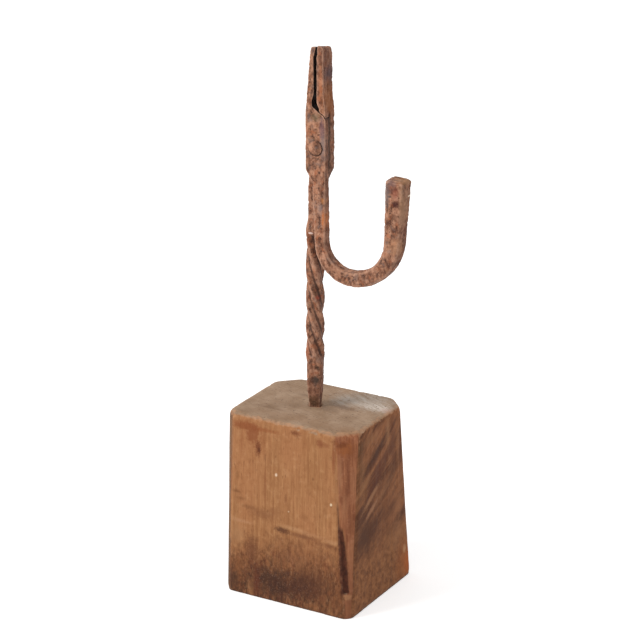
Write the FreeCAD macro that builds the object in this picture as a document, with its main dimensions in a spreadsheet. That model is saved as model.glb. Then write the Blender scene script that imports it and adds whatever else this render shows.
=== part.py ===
import FreeCAD, Part
import Sketcher
import os

# Rushlight holder: a wooden block, an iron stem with the fixed jaw, a hooked arm with the
# moving jaw, and the rivet that the arm swings on. Millimetres, +Z up, origin at the centre
# of the block's foot. The arm swings in the XZ plane and its hook hangs towards +X.

doc = FreeCAD.newDocument("rushlight_holder")

SIZES = [
    # Block of wood, tapered, with its upright corners cut off more at the top than at the foot
    ("block_height", 86.2),
    ("foot_width", 65.4),
    ("foot_depth", 59.4),
    ("top_width", 64.6),
    ("top_depth", 52.0),
    ("top_shift_x", -0.9),
    ("top_shift_y", -0.8),
    ("foot_cut", 2.8),
    ("front_left_cut", 4.1),
    ("back_right_cut", 7.0),
    ("back_left_cut", 9.5),
    ("bevel_across", 8.8),
    ("bevel_along", 8.5),
    ("top_round", 2.2),
    # Cleft split out of the front right corner, at its foot, its middle and its upper end
    ("cleft_foot", 11.5),
    ("cleft_foot_in", 0.15),
    ("cleft_foot_wide", 2.6),
    ("cleft_foot_deep", 1.2),
    ("cleft_middle", 37.0),
    ("cleft_middle_in", 0.1),
    ("cleft_middle_wide", 2.1),
    ("cleft_middle_deep", 0.9),
    ("cleft_top", 51.0),
    ("cleft_top_in", 0.7),
    ("cleft_top_wide", 0.6),
    ("cleft_top_deep", -0.15),
    ("cleft_clear", 0.3),
    ("cleft_lean", 0.3),
    # Stem: tang in the block, square bar, twist, neck
    ("stem_x", -1.2),
    ("stem_y", -1.3),
    ("bar_side", 6.8),
    ("bar_corner", 1.3),
    ("tang_length", 38.0),
    ("tang_root", 5.0),
    ("tang_tip", 2.4),
    ("tang_corner", 0.4),
    ("tang_fit", 0.02),
    ("taper_length", 11.5),
    ("twist_foot", 21.3),
    ("twist_length", 61.4),
    ("twist_angle", 376.7),
    ("twist_tighter", 1.25),
    ("neck_width", 5.6),
    ("neck_depth", 6.0),
    ("neck_shift", 0.4),
    ("neck_draw", 5.0),
    ("neck_corner", 1.0),
    # Joint: two lapped plates on one rivet, and the jaws above them
    ("head_shift", 4.2),
    ("lap_ahead", 3.6),
    ("lap_gap", 0.15),
    ("pivot_rise", 121.3),
    ("plate_width", 9.9),
    ("front_plate", 3.5),
    ("rear_plate", 4.5),
    ("plate_drop", 10.2),
    ("plate_spread", 10.0),
    ("plate_corner", 0.5),
    ("plate_narrow", 4.8),
    ("shoulder_side", 14.6),
    ("shoulder_nose", 1.0),
    ("shoulder_drop", 1.4),
    ("shoulder_mid", 15.6),
    ("shoulder_reach", 2.0),
    ("shoulder_gap", 0.35),
    ("jaw_reach", 45.0),
    ("jaw_step", 8.9),
    ("jaw_upper", 3.95),
    ("jaw_tip", 3.85),
    ("moving_tip", 2.7),
    ("moving_short", 0.6),
    ("slot_face", 0.6),
    ("slot_width", 1.4),
    ("boot_width", 2.2),
    ("boot_foot", 2.6),
    ("boot_top", 5.4),
    ("boot_neck", 7.7),
    ("heel_rise", 4.2),
    ("nip_length", 5.5),
    ("nip_gap", 0.7),
    ("nip_lean", 0.45),
    ("tip_slope", 1.7),
    ("jaw_round", 1.6),
    # Rivet: shank, front head and peened back head
    ("rivet", 4.0),
    ("rivet_fit", 0.06),
    ("front_head", 6.7),
    ("front_dome", 1.1),
    ("back_head", 6.6),
    ("back_dome", 0.9),
    ("head_play", 0.1),
    # Arm below the joint: limb, U bend and counterweight end
    ("limb_shift", 1.5),
    ("limb_width", 6.7),
    ("limb_depth", 3.4),
    ("limb_corner", 0.7),
    ("waist_shift", 2.4),
    ("waist_drop", 41.4),
    ("waist_width", 5.1),
    ("waist_depth", 4.6),
    ("first_bend", 14.8),
    ("second_bend", 21.0),
    ("end_lean", 2.8),
    ("end_length", 28.0),
    ("end_width", 8.8),
    ("end_depth", 8.2),
    ("end_corner", 1.4),
    ("end_worn", 0.9),
]

# Outlines that two bodies share, across and up from the pivot
BACK_FACE = "lap_gap / 2 + rear_plate"
MOVING_FACE_AT_TIP = "slot_face + nip_lean - nip_gap"
MOVING_REACH = "jaw_reach - moving_short"
FIXED_JAW_EDGE = [
    ("plate_width / 2", "shoulder_mid"),
    ("jaw_upper", "shoulder_mid + jaw_step"),
    ("jaw_tip", "jaw_reach"),
    ("slot_face + nip_lean", "jaw_reach"),
    ("slot_face", "jaw_reach - nip_length"),
    ("slot_face", "shoulder_mid + heel_rise"),
]
MOVING_JAW_EDGE = [
    ("slot_face - boot_width", "shoulder_mid + boot_foot"),
    ("slot_face - boot_width", "shoulder_mid + boot_top"),
    ("slot_face - slot_width", "shoulder_mid + boot_neck"),
    ("slot_face - slot_width", "jaw_reach - nip_length"),
    (MOVING_FACE_AT_TIP, MOVING_REACH),
    (f"{MOVING_FACE_AT_TIP} - moving_tip", MOVING_REACH),
    ("-plate_width / 2", "shoulder_mid"),
]
TWIST_STEPS = 24
BEND_STEPS = 6
SAME_PLACE = 0.001
NEAR_CORNER = 0.3

sheet = doc.addObject("Spreadsheet::Sheet", "Sizes")
for row, (name, value) in enumerate(SIZES, start=1):
    sheet.set(f"A{row}", name)
    sheet.set(f"B{row}", str(value))
    sheet.setAlias(f"B{row}", name)
doc.recompute()


def named(expression):
    """Puts the sheet's name before each size in an expression written with bare names."""
    words = []
    word = ""
    for letter in expression + " ":
        if letter.isalnum() or letter == "_":
            word += letter
            continue
        words.append(f"Sizes.{word}" if word in size_names else word)
        words.append(letter)
        word = ""
    return "".join(words).strip()


size_names = {name for name, value in SIZES}


def bind(target, path, expression):
    target.setExpression(path, named(expression))


def value_of(expression):
    return float(sheet.evalExpression(named(expression)))


def new_body(label):
    body = doc.addObject("PartDesign::Body", label)
    body.Label = label
    return body


def origin_plane(body, role):
    return next(item for item in body.Origin.OriginFeatures if item.Role == role)


def new_sketch(body, name, role, base=("0", "0", "0"), turn=None):
    """A sketch on one of the body's planes, moved by three expressions in the plane's own
    axes and turned by an angle about the axis given."""
    sketch = body.newObject("Sketcher::SketchObject", name)
    sketch.AttachmentSupport = [(origin_plane(body, role), "")]
    sketch.MapMode = "FlatFace"
    if turn:
        axis, angle = turn
        sketch.AttachmentOffset = FreeCAD.Placement(
            FreeCAD.Vector(0, 0, 0), FreeCAD.Rotation(axis, value_of(angle) or 1.0))
        bind(sketch, "AttachmentOffset.Rotation.Angle", angle)
    for letter, expression in zip("xyz", base):
        bind(sketch, f"AttachmentOffset.Base.{letter}", expression)
    return sketch


def constrain(sketch, expression, kind, *where):
    index = sketch.addConstraint(Sketcher.Constraint(kind, *where, value_of(expression)))
    bind(sketch, f"Constraints[{index}]", expression)


def draw_outline(sketch, corners):
    """A closed run of straight lines through corners given as pairs of expressions."""
    points = [FreeCAD.Vector(value_of(x), value_of(y), 0) for x, y in corners]
    for start, end in zip(points, points[1:] + points[:1]):
        sketch.addGeometry(Part.LineSegment(start, end))
    close_outline(sketch, corners)


def close_outline(sketch, corners):
    """Joins a sketch's lines and arcs end to end and pins each corner in its place."""
    for number, (x, y) in enumerate(corners):
        sketch.addConstraint(
            Sketcher.Constraint("Coincident", number, 2, (number + 1) % len(corners), 1))
        constrain(sketch, x, "DistanceX", -1, 1, number, 1)
        constrain(sketch, y, "DistanceY", -1, 1, number, 1)


def draw_rounded_rectangle(sketch, width, depth, radius):
    """A rectangle with round corners about the sketch's origin."""
    half_x = value_of(width) / 2
    half_y = value_of(depth) / 2
    round_off = value_of(radius)
    inner_x = half_x - round_off
    inner_y = half_y - round_off
    ends = [
        ((-inner_x, -half_y), (inner_x, -half_y)),
        ((half_x, -inner_y), (half_x, inner_y)),
        ((inner_x, half_y), (-inner_x, half_y)),
        ((-half_x, inner_y), (-half_x, -inner_y)),
    ]
    centres = [(inner_x, -inner_y), (inner_x, inner_y), (-inner_x, inner_y), (-inner_x, -inner_y)]
    turns = [(-90, 0), (0, 90), (90, 180), (180, 270)]
    for (start, end), centre, (first, last) in zip(ends, centres, turns):
        sketch.addGeometry(Part.LineSegment(FreeCAD.Vector(*start, 0), FreeCAD.Vector(*end, 0)))
        circle = Part.Circle(FreeCAD.Vector(*centre, 0), FreeCAD.Vector(0, 0, 1), round_off)
        sketch.addGeometry(Part.ArcOfCircle(
            circle, FreeCAD.Units.Quantity(first, "deg").getValueAs("rad"),
            FreeCAD.Units.Quantity(last, "deg").getValueAs("rad")))
    for side in range(0, 8, 2):
        sketch.addConstraint(Sketcher.Constraint("Tangent", side, 2, side + 1, 1))
        sketch.addConstraint(Sketcher.Constraint("Tangent", side + 1, 2, (side + 2) % 8, 1))
    for side, kind in ((0, "Horizontal"), (2, "Vertical"), (4, "Horizontal"), (6, "Vertical")):
        sketch.addConstraint(Sketcher.Constraint(kind, side))
    for arc in (3, 5, 7):
        sketch.addConstraint(Sketcher.Constraint("Equal", 1, arc))
    sketch.addConstraint(Sketcher.Constraint("Symmetric", 1, 3, 5, 3, -1, 1))
    constrain(sketch, radius, "Radius", 1)
    constrain(sketch, width, "DistanceX", 6, 1, 2, 2)
    constrain(sketch, depth, "DistanceY", 0, 1, 4, 2)


def loft(body, name, sketches, kind="AdditiveLoft", ruled=True):
    feature = body.newObject(f"PartDesign::{kind}", name)
    feature.Profile = sketches[0]
    feature.Sections = sketches[1:]
    feature.Ruled = ruled
    return feature


def pad(body, name, sketch, length):
    feature = body.newObject("PartDesign::Pad", name)
    feature.Profile = sketch
    bind(feature, "Length", length)
    return feature


def round_edges(body, name, solid, radius, chosen):
    """Rounds the edges whose two ends, in the body's own frame, the test chooses."""
    doc.recompute()
    names = []
    for number, edge in enumerate(solid.Shape.Edges, start=1):
        ends = [vertex.Point for vertex in edge.Vertexes]
        if chosen(ends):
            names.append(f"Edge{number}")
    feature = body.newObject("PartDesign::Fillet", name)
    feature.Base = (solid, names)
    bind(feature, "Radius", radius)
    return feature


def bar_section(body, name, height, width, depth, corner, turn="0", aside="0", along="0"):
    """A level section of an upright bar, its centre moved aside (X) and along (Y)."""
    axis = FreeCAD.Vector(0, 0, 1)
    sketch = new_sketch(body, name, "XY_Plane", (aside, along, height), (axis, turn))
    draw_rounded_rectangle(sketch, width, depth, corner)
    return sketch


# The block


def block_section(body, name, height, width, depth, shift, cuts):
    """An eight-sided section: a rectangle with a cut of its own across each corner. The cuts
    run from the front left corner to the front right, back right and back left ones."""
    left = f"{shift[0]} - {width} / 2"
    right = f"{shift[0]} + {width} / 2"
    front = f"{shift[1]} - {depth} / 2"
    back = f"{shift[1]} + {depth} / 2"
    (fl_x, fl_y), (fr_x, fr_y), (br_x, br_y), (bl_x, bl_y) = cuts
    sketch = new_sketch(body, name, "XY_Plane", ("0", "0", height))
    draw_outline(sketch, [
        (f"{left} + {fl_x}", front),
        (f"{right} - {fr_x}", front),
        (right, f"{front} + {fr_y}"),
        (right, f"{back} - {br_y}"),
        (f"{right} - {br_x}", back),
        (f"{left} + {bl_x}", back),
        (left, f"{back} - {bl_y}"),
        (left, f"{front} + {fl_y}"),
    ])
    return sketch


def at_height(foot, top, height):
    """A place on a straight edge of the taper, at a height between the foot and the top."""
    return f"({foot} + ({top} - ({foot})) * {height} / block_height)"


def cleft_section(body, stage):
    """A level V across the cleft, measured from the front edge of the cut corner. Its mouth
    stands clear of the wood, and a negative depth keeps its point clear of it as well."""
    inset, wide, deep = f"cleft_{stage}_in", f"cleft_{stage}_wide", f"cleft_{stage}_deep"
    height = f"cleft_{stage}"
    edge_x = at_height("foot_width / 2 - foot_cut", "top_shift_x + top_width / 2 - bevel_across", height)
    edge_y = at_height("-foot_depth / 2", "top_shift_y - top_depth / 2", height)
    sketch = new_sketch(body, f"Cleft{stage.title()}", "XY_Plane", ("0", "0", height))
    draw_outline(sketch, [
        (f"{edge_x} + {inset} + cleft_clear", f"{edge_y} + {inset} - cleft_clear"),
        (f"{edge_x} + {inset} + {wide} + cleft_clear", f"{edge_y} + {inset} + {wide} - cleft_clear"),
        (f"{edge_x} + {inset} + {wide} * cleft_lean - {deep}",
         f"{edge_y} + {inset} + {wide} * cleft_lean + {deep}"),
    ])
    return sketch


def tang_section(body, name, depth_in_wood, side, aside="0", along="0"):
    """A section of the tang, or of its hole, at a depth below the top of the block."""
    return bar_section(body, name, f"block_height - {depth_in_wood}", side, side,
                       "tang_corner", "twist_angle", aside, along)


def make_block():
    body = new_body("base_block")
    top = block_section(
        body, "BlockTop", "block_height", "top_width", "top_depth",
        ("top_shift_x", "top_shift_y"),
        [("front_left_cut", "front_left_cut"), ("bevel_across", "bevel_along"),
         ("back_right_cut", "back_right_cut"), ("back_left_cut", "back_left_cut")])
    foot = block_section(
        body, "BlockFoot", "0", "foot_width", "foot_depth", ("0", "0"),
        [("foot_cut", "foot_cut")] * 4)
    solid = loft(body, "TaperedBlock", [top, foot])
    height = value_of("block_height")
    round_edges(body, "WornTopEdge", solid, "top_round",
                lambda ends: all(abs(end.z - height) < SAME_PLACE for end in ends))
    place = ("stem_x", "stem_y")
    mouth = tang_section(body, "HoleMouth", "0", "tang_root + 2 * tang_fit", *place)
    end = tang_section(body, "HoleEnd", "tang_length", "tang_tip + 2 * tang_fit", *place)
    loft(body, "TangHole", [mouth, end], "SubtractiveLoft")
    loft(body, "Cleft", [cleft_section(body, stage) for stage in ("top", "middle", "foot")],
         "SubtractiveLoft")


# The stem


def make_stem():
    """The tang, the bar with its twist, the neck, and the rear plate with the fixed jaw."""
    body = new_body("stem")
    bind(body, "Placement.Base.x", "stem_x")
    bind(body, "Placement.Base.y", "stem_y")
    tang_tip = tang_section(body, "TangTip", "tang_length", "tang_tip")
    tang_root = tang_section(body, "TangRoot", "0", "tang_root")
    square = ("bar_side", "bar_side", "bar_corner")
    bar_foot = bar_section(
        body, "BarFoot", "block_height + taper_length", *square, "twist_angle")
    twist_rings = []
    for step in range(TWIST_STEPS + 1):
        share = f"({step} / {TWIST_STEPS})"
        twist_rings.append(bar_section(
            body, f"TwistRing{step:02d}",
            f"block_height + twist_foot + twist_length * (1 - {share})", *square,
            f"twist_angle * {share} ^ twist_tighter"))
    neck = ("neck_width", "neck_depth", "neck_corner")
    neck_low = bar_section(
        body, "NeckLow", "block_height + twist_foot + twist_length + neck_draw", *neck,
        aside="neck_shift")
    neck_high = bar_section(
        body, "NeckHigh", "block_height + pivot_rise - plate_drop - plate_spread", *neck,
        aside="neck_shift")
    plate_foot = bar_section(
        body, "PlateFoot", "block_height + pivot_rise - plate_drop", "plate_width",
        "rear_plate", "plate_corner", aside="head_shift",
        along="(rear_plate + lap_gap) / 2 - lap_ahead")
    loft(body, "Tang", [tang_root, tang_tip])
    loft(body, "Taper", [bar_foot, tang_root])
    loft(body, "SquareBar", [twist_rings[-1], bar_foot])
    loft(body, "Twist", twist_rings, ruled=False)
    loft(body, "NeckDraw", [neck_low, twist_rings[0]])
    loft(body, "Neck", [neck_high, neck_low])
    loft(body, "PlateSpread", [plate_foot, neck_high])
    plate = flat_sketch(body, "RearPlate", BACK_FACE)
    draw_outline(plate, [
        ("-plate_width / 2", "-plate_drop"),
        ("plate_width / 2", "-plate_drop"),
        *FIXED_JAW_EDGE,
        *shoulder("-", "0"),
    ])
    pad(body, "RearPlatePad", plate, "rear_plate")
    jaw = flat_sketch(body, "FixedJaw", "lap_gap / 2")
    draw_outline(jaw, [
        *FIXED_JAW_EDGE,
        *shoulder("", "shoulder_gap"),
    ])
    pad(body, "FixedJawPad", jaw, "lap_gap + front_plate")
    slope = slope_jaw_tip(body, "jaw_reach")
    round_jaw(body, slope, "jaw_tip + head_shift", "block_height + pivot_rise + jaw_reach")
    rivet_hole(body, "rivet")


def shoulder(side, gap):
    """The shoulder that a plate ends in under the other jaw, from the middle outwards. Each
    one falls outwards, so that the jaws part when the arm swings up."""
    return [
        (f"{side}shoulder_reach", f"shoulder_mid + {gap}"),
        (f"{side}(plate_width / 2 - shoulder_nose)", f"shoulder_side + {gap}"),
        (f"{side}plate_width / 2", f"shoulder_side - shoulder_drop + {gap}"),
    ]


def round_jaw(body, solid, across, up):
    """Rounds the outer corner of a jaw's tip, which runs from front to back."""
    corner_x = value_of(across)
    lowest = value_of(f"{up} - tip_slope") - SAME_PLACE
    round_edges(body, "JawTipRound", solid, "jaw_round",
                lambda ends: all(abs(end.x - corner_x) < NEAR_CORNER and end.z > lowest
                                 for end in ends))


def slope_jaw_tip(body, reach):
    """Cuts the top of a jaw so that it falls from its front edge to its back one."""
    base = ("0", "0", "0")
    if body.Label == "stem":
        base = ("-lap_ahead", "block_height + pivot_rise", "head_shift")
    wedge = new_sketch(body, "TipSlope", "YZ_Plane", base)
    draw_outline(wedge, [
        ("-lap_gap / 2 - front_plate", reach),
        (BACK_FACE, f"{reach} - tip_slope"),
        (BACK_FACE, f"{reach} + tip_slope"),
    ])
    cut = body.newObject("PartDesign::Pocket", "TipSlopePocket")
    cut.Profile = wedge
    cut.Midplane = True
    bind(cut, "Length", "4 * plate_width")
    return cut


def rivet_hole(body, bore):
    ring = flat_sketch(body, "RivetHole", "0")
    ring.addGeometry(Part.Circle(
        FreeCAD.Vector(0, 0, 0), FreeCAD.Vector(0, 0, 1), value_of(bore) / 2))
    ring.addConstraint(Sketcher.Constraint("Coincident", 0, 3, -1, 1))
    constrain(ring, bore, "Diameter", 0)
    hole = body.newObject("PartDesign::Pocket", "RivetHolePocket")
    hole.Profile = ring
    hole.Midplane = True
    bind(hole, "Length", "4 * (front_plate + rear_plate)")


def make_arm():
    """The front plate with the moving jaw above it, and the hooked arm below it."""
    body = new_body("jaw_arm")
    place_at_pivot(body)
    plate = flat_sketch(body, "FrontPlate", "-lap_gap / 2")
    limb_left = "limb_shift - limb_width / 2"
    limb_right = "limb_shift + limb_width / 2"
    draw_outline(plate, [
        ("-plate_width / 2", "-plate_drop"),
        (limb_left, "-plate_drop - plate_narrow"),
        (limb_right, "-plate_drop - plate_narrow"),
        ("plate_width / 2", "-plate_drop"),
        *reversed(shoulder("", "0")),
        *MOVING_JAW_EDGE,
    ])
    pad(body, "FrontPlatePad", plate, "front_plate")
    jaw = flat_sketch(body, "MovingJaw", BACK_FACE)
    draw_outline(jaw, [
        *reversed(shoulder("-", "shoulder_gap")),
        *MOVING_JAW_EDGE,
    ])
    pad(body, "MovingJawPad", jaw, "lap_gap + rear_plate")
    slope = slope_jaw_tip(body, MOVING_REACH)
    round_jaw(body, slope, f"{MOVING_FACE_AT_TIP} - moving_tip", MOVING_REACH)
    rivet_hole(body, "rivet + 2 * rivet_fit")
    rings = hook_rings(body)
    loft(body, "Limb", rings[:2])
    loft(body, "UBend", rings[1:-2], ruled=False)
    loft(body, "EndBar", rings[-3:])


def hook_ring(body, name, across, down, turn, width, depth, corner):
    """A section of the arm square to its run, turned about Y from the level one."""
    sketch = new_sketch(
        body, name, "XY_Plane", (across, "-(front_plate + lap_gap) / 2", f"-({down})"),
        (FreeCAD.Vector(0, 1, 0), turn))
    draw_rounded_rectangle(sketch, width, depth, corner)
    return sketch


def hook_rings(body):
    """Sections from the plate down the limb, round two quarter bends and up to the end. The
    bar swells evenly from its waist, where the bend starts, to its end."""
    rings = [hook_ring(body, "LimbTop", "limb_shift", "plate_drop", "0",
                       "limb_width", "limb_depth", "limb_corner")]
    run = ("((first_bend * 90 + second_bend * (90 - end_lean)) * pi / 180 + end_length)")

    def swell(name, share):
        start = "limb_corner" if name == "corner" else f"waist_{name}"
        return f"({start} + (end_{name} - {start}) * {share})"

    def add(name, across, down, turn, gone, less="0"):
        share = f"(({gone}) / {run})"
        rings.append(hook_ring(
            body, name, across, down, turn, f"{swell('width', share)} - 2 * {less}",
            f"{swell('depth', share)} - 2 * {less}", swell("corner", share)))

    for step in range(BEND_STEPS + 1):
        turned = f"({step} * 90 / {BEND_STEPS})"
        add(f"FirstBend{step}", f"waist_shift + first_bend * (1 - cos({turned} * 1 deg))",
            f"waist_drop + first_bend * sin({turned} * 1 deg)", f"-{turned}",
            f"first_bend * {turned} * pi / 180")
    for step in range(1, BEND_STEPS + 1):
        turned = f"({step} * (90 - end_lean) / {BEND_STEPS})"
        add(f"SecondBend{step}",
            f"waist_shift + first_bend + second_bend * sin({turned} * 1 deg)",
            f"waist_drop + first_bend - second_bend * (1 - cos({turned} * 1 deg))",
            f"-90 - {turned}",
            f"(first_bend * 90 + second_bend * {turned}) * pi / 180")
    for name, length, less in (("EndBar", "(end_length - end_worn)", "0"),
                               ("EndFace", "end_length", "end_worn")):
        add(name,
            "waist_shift + first_bend + second_bend * cos(end_lean * 1 deg)"
            f" + {length} * sin(end_lean * 1 deg)",
            "waist_drop + first_bend - second_bend * (1 - sin(end_lean * 1 deg))"
            f" - {length} * cos(end_lean * 1 deg)",
            "end_lean - 180", run, less)
    return rings


def place_at_pivot(body):
    bind(body, "Placement.Base.x", "stem_x + head_shift")
    bind(body, "Placement.Base.y", "stem_y - lap_ahead")
    bind(body, "Placement.Base.z", "block_height + pivot_rise")


def flat_sketch(body, name, behind_lap):
    """An upright sketch about the pivot, a distance behind the lap plane. The stem's body
    stands at the bar's foot and the arm's body at the pivot."""
    if body.Label == "stem":
        return new_sketch(body, name, "XZ_Plane", (
            "head_shift", "block_height + pivot_rise", f"lap_ahead - ({behind_lap})"))
    return new_sketch(body, name, "XZ_Plane", ("0", "0", f"-({behind_lap})"))


def make_rivet():
    """The shank and both heads, turned about the pivot's axis (Y)."""
    body = new_body("pivot_rivet")
    place_at_pivot(body)
    sketch = new_sketch(body, "RivetProfile", "XY_Plane")
    front = "-(lap_gap / 2 + front_plate + head_play)"
    outline = [
        ("0", f"{front} - front_dome"),
        ("front_head / 2", front),
        ("rivet / 2", front),
        ("rivet / 2", BACK_FACE),
        ("back_head / 2", BACK_FACE),
        ("0", f"{BACK_FACE} + back_dome"),
    ]
    points = [FreeCAD.Vector(value_of(x), value_of(y), 0) for x, y in outline]
    count = len(points)
    for number in range(count):
        start = points[number]
        end = points[(number + 1) % count]
        if number in (0, 4):
            sketch.addGeometry(dome(start, end))
            sketch.addConstraint(Sketcher.Constraint("PointOnObject", number, 3, -2))
        else:
            sketch.addGeometry(Part.LineSegment(start, end))
    close_outline(sketch, outline)
    turned = body.newObject("PartDesign::Revolution", "TurnedRivet")
    turned.Profile = sketch
    turned.ReferenceAxis = (sketch, ["V_Axis"])


def dome(start, end):
    """The arc of a rivet head between its crown on the axis and its rim."""
    crown, rim = sorted((start, end), key=lambda point: point.x)
    rise = crown.y - rim.y
    centre = FreeCAD.Vector(0, crown.y - (rim.x ** 2 + rise ** 2) / (2 * rise), 0)
    half_way = (crown + rim) / 2 - centre
    return Part.Arc(start, centre + half_way.normalize() * (crown - centre).Length, end)


def main():
    make_block()
    make_stem()
    make_arm()
    make_rivet()
    doc.recompute()
    for item in doc.Objects:
        if "Invalid" in item.State or "Error" in item.State:
            raise RuntimeError(f"{item.Label} failed: {item.State}")
    bodies = [item for item in doc.Objects if item.TypeId == "PartDesign::Body"]
    for body in bodies:
        if body.Shape.isNull() or not body.Shape.isValid() or len(body.Shape.Solids) != 1:
            raise RuntimeError(f"{body.Label} is not one valid solid")
    os.makedirs("parts", exist_ok=True)
    for body in bodies:
        body.Shape.exportStep(f"parts/{body.Label}.step")
        box = body.Shape.optimalBoundingBox()
        print(f"{body.Label}: volume {body.Shape.Volume:.1f} mm3, {len(body.Shape.Faces)} faces,",
              f"x {box.XMin:.2f} to {box.XMax:.2f}, y {box.YMin:.2f} to {box.YMax:.2f},",
              f"z {box.ZMin:.2f} to {box.ZMax:.2f}")


main()
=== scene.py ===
import math

import bmesh
import bpy
import numpy as np
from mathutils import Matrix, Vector, noise


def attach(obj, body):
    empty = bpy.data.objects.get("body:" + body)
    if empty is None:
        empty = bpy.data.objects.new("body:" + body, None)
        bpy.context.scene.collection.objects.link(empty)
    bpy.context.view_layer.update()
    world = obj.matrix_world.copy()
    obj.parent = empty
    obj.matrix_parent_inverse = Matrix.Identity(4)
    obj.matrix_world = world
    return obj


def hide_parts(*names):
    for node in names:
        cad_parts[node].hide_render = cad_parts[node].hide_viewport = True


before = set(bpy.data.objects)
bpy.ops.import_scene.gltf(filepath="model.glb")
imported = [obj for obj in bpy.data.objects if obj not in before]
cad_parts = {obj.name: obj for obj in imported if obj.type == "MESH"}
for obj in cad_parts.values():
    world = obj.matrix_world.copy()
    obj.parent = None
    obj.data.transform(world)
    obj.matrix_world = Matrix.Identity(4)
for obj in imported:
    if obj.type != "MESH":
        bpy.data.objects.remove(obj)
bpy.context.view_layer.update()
scene = bpy.context.scene
mm = 0.001


# Node helpers

def addNode(tree, kind, inputs=None, **settings):
    node = tree.nodes.new(kind)
    for name, value in settings.items():
        setattr(node, name, value)
    for key, value in (inputs or {}).items():
        if isinstance(value, bpy.types.NodeSocket):
            tree.links.new(value, node.inputs[key])
        else:
            node.inputs[key].default_value = value
    return node


def colour(red, green, blue):           # a colour as it is seen, 0 to 255
    seen = [part / 255 for part in (red, green, blue)]
    return tuple(part / 12.92 if part <= 0.04045 else ((part + 0.055) / 1.055) ** 2.4
                 for part in seen) + (1.0,)


def calc(tree, operation, *values):
    return addNode(tree, "ShaderNodeMath", dict(enumerate(values)), operation=operation).outputs[0]


def product(tree, first, *others):
    for other in others:
        first = calc(tree, "MULTIPLY", first, other)
    return first


def ramped(tree, value, low, high, toLow=0.0, toHigh=1.0):
    node = addNode(tree, "ShaderNodeMapRange", {"Value": value, "From Min": low, "From Max": high,
                                                "To Min": toLow, "To Max": toHigh})
    return node.outputs["Result"]


def paint(tree, mask, under, over):     # over shows where the mask is 1
    return addNode(tree, "ShaderNodeMix", {0: mask, 6: under, 7: over}, data_type="RGBA").outputs[2]


def vectorCalc(tree, operation, a, b):
    return addNode(tree, "ShaderNodeVectorMath", {0: a, 1: b}, operation=operation).outputs[0]


def lengthOf(tree, vector):
    return addNode(tree, "ShaderNodeVectorMath", {0: vector}, operation="LENGTH").outputs["Value"]


def partsOf(tree, vector):
    return addNode(tree, "ShaderNodeSeparateXYZ", {0: vector}).outputs


def turnedBy(tree, vector, *degrees):
    turn = [math.radians(part) for part in degrees]
    return addNode(tree, "ShaderNodeMapping", {"Vector": vector, "Rotation": turn}).outputs[0]


def placeOf(tree):                      # object coordinates in millimetres
    here = addNode(tree, "ShaderNodeTexCoord").outputs["Object"]
    return vectorCalc(tree, "MULTIPLY", here, (1000, 1000, 1000))


def facingOf(tree):                     # x, y and z of the normal
    return partsOf(tree, addNode(tree, "ShaderNodeTexCoord").outputs["Normal"])


def cloud(tree, vector, scale, detail=3.0, roughness=0.55, distortion=0.0, output=0):
    node = addNode(tree, "ShaderNodeTexNoise", {"Vector": vector, "Scale": scale, "Detail": detail,
                                                "Roughness": roughness, "Distortion": distortion})
    return node.outputs[output]


def clouds(tree, here, table):          # rows: name, then stretch, scale, detail, roughness, distortion
    return {name: cloud(tree, vectorCalc(tree, "MULTIPLY", here, stretch), *settings)
            for name, (stretch, *settings) in table.items()}


def dressed(tree, drivers, look):       # two tones, then one stain over the other
    (name, low, high, first, second), *stains = look
    under = paint(tree, ramped(tree, drivers[name], low, high), colour(*first), colour(*second))
    return stained(tree, drivers, under, stains)


def stained(tree, drivers, under, stains):
    for name, low, high, strength, shade in stains:
        mask = ramped(tree, drivers[name], low, high, 0.0, strength)
        under = paint(tree, mask, under, colour(*shade))
    return under


def weighed(tree, drivers, weights):    # the sum of some drivers, each with its weight
    total = 0.0
    for name, weight in weights.items():
        total = calc(tree, "ADD", total, product(tree, drivers[name], weight))
    return total


def newMaterial(name):
    material = bpy.data.materials.new(name)
    material.use_nodes = True
    return material, material.node_tree


def finishShader(tree, base, rough, height, bumpStrength, specular):
    shader = tree.nodes["Principled BSDF"]
    bump = addNode(tree, "ShaderNodeBump", {"Strength": bumpStrength, "Distance": 0.5 * mm, "Height": height})
    tree.links.new(base, shader.inputs["Base Color"])
    tree.links.new(rough, shader.inputs["Roughness"])
    tree.links.new(bump.outputs[0], shader.inputs["Normal"])
    shader.inputs["Specular IOR Level"].default_value = specular
    return shader


def newGroup(name, inputs, outputs):
    group = bpy.data.node_groups.new(name, "ShaderNodeTree")
    for label, kind, value in inputs:
        socket = group.interface.new_socket(label, in_out="INPUT", socket_type="NodeSocket" + kind)
        socket.default_value = value
    for label, kind in outputs:
        group.interface.new_socket(label, in_out="OUTPUT", socket_type="NodeSocket" + kind)
    return group, group.nodes.new("NodeGroupInput").outputs, group.nodes.new("NodeGroupOutput").inputs


def useGroup(tree, group, values):
    return addNode(tree, "ShaderNodeGroup", values, node_tree=group).outputs


# Camera and studio

view = {
    "azimuth": 30.1,                    # degrees round from the front
    "elevation": 20.3,
    "distance": 1.2,
    "aim": (0.00067, -0.00045, 0.1264),
    "lens": 153.68,
    "sensor": 36.0,
}

studio = {
    "floorSize": 12.0,
    "floorDrop": 0.2 * mm,              # below the foot, so that the two don't coincide
    "floorColour": (0.86, 0.86, 0.86, 1.0),
    "floorLift": 0.50,                  # glow that the camera alone sees, so that the floor turns white
    "skyStrength": 0.56,
    "lampAim": (0, 0, 0.13),
    "keyPlace": (-1.05, -1.15, 1.15),
    "keySize": 0.9,
    "keyPower": 23.0,
    "keyColour": (1.0, 0.985, 0.96),
    "rimPlace": (1.3, 0.9, 1.0),
    "rimSize": 0.8,
    "rimPower": 6.0,
    "rimColour": (1.0, 1.0, 1.0),
}

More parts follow.
